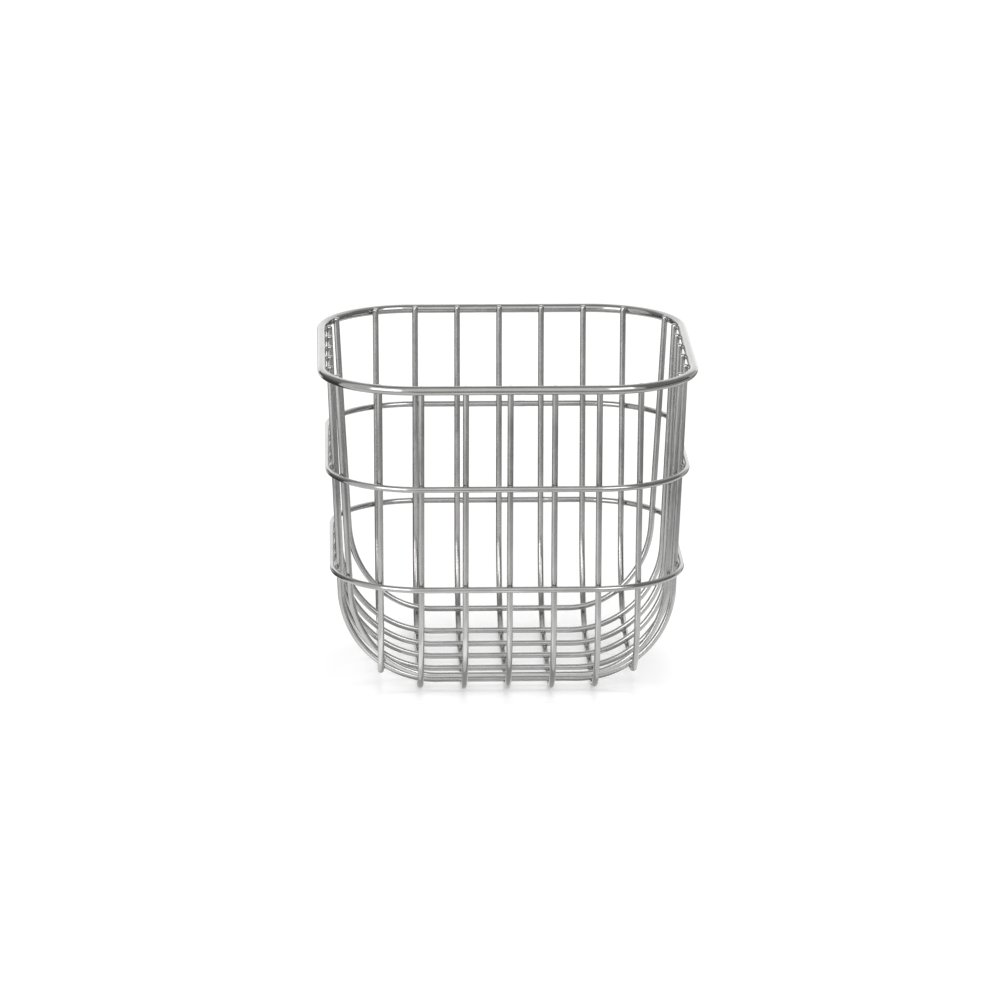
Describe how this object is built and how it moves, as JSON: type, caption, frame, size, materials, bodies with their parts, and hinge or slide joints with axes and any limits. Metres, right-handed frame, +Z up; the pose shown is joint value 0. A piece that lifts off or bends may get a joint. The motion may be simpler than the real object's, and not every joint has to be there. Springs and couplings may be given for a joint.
{
  "type": "wire storage basket",
  "caption": "Open storage basket of welded steel wires bent into U shapes, held by a round bar rim and two hoops, with rounded corners and a rounded bottom.",
  "frame": {"origin": "on the surface that the basket stands on, under the middle of the rim", "axes": "+X to the basket's right seen from the front, +Y to the back, +Z up out of the open mouth; the outer wires run along Y and the inner wires along X"},
  "size_m": [0.251, 0.248, 0.2235],
  "materials": {
    "rim_steel": "satin stainless round bar, lightly polished after welding",
    "hoop_steel": "satin drawn stainless wire",
    "wire_steel": "satin drawn stainless wire"
  },
  "bodies": {
    "root": {"rim_ring": "rim_steel", "upper_hoop": "hoop_steel", "lower_hoop": "hoop_steel", "front_back_wire_1": "wire_steel", "front_back_wire_2": "wire_steel", "front_back_wire_3": "wire_steel", "front_back_wire_4": "wire_steel", "front_back_wire_5": "wire_steel", "front_back_wire_6": "wire_steel", "front_back_wire_7": "wire_steel", "side_wire_1": "wire_steel", "side_wire_2": "wire_steel", "side_wire_3": "wire_steel", "side_wire_4": "wire_steel", "side_wire_5": "wire_steel", "side_wire_6": "wire_steel", "side_wire_7": "wire_steel"}
  },
  "joints": []
}
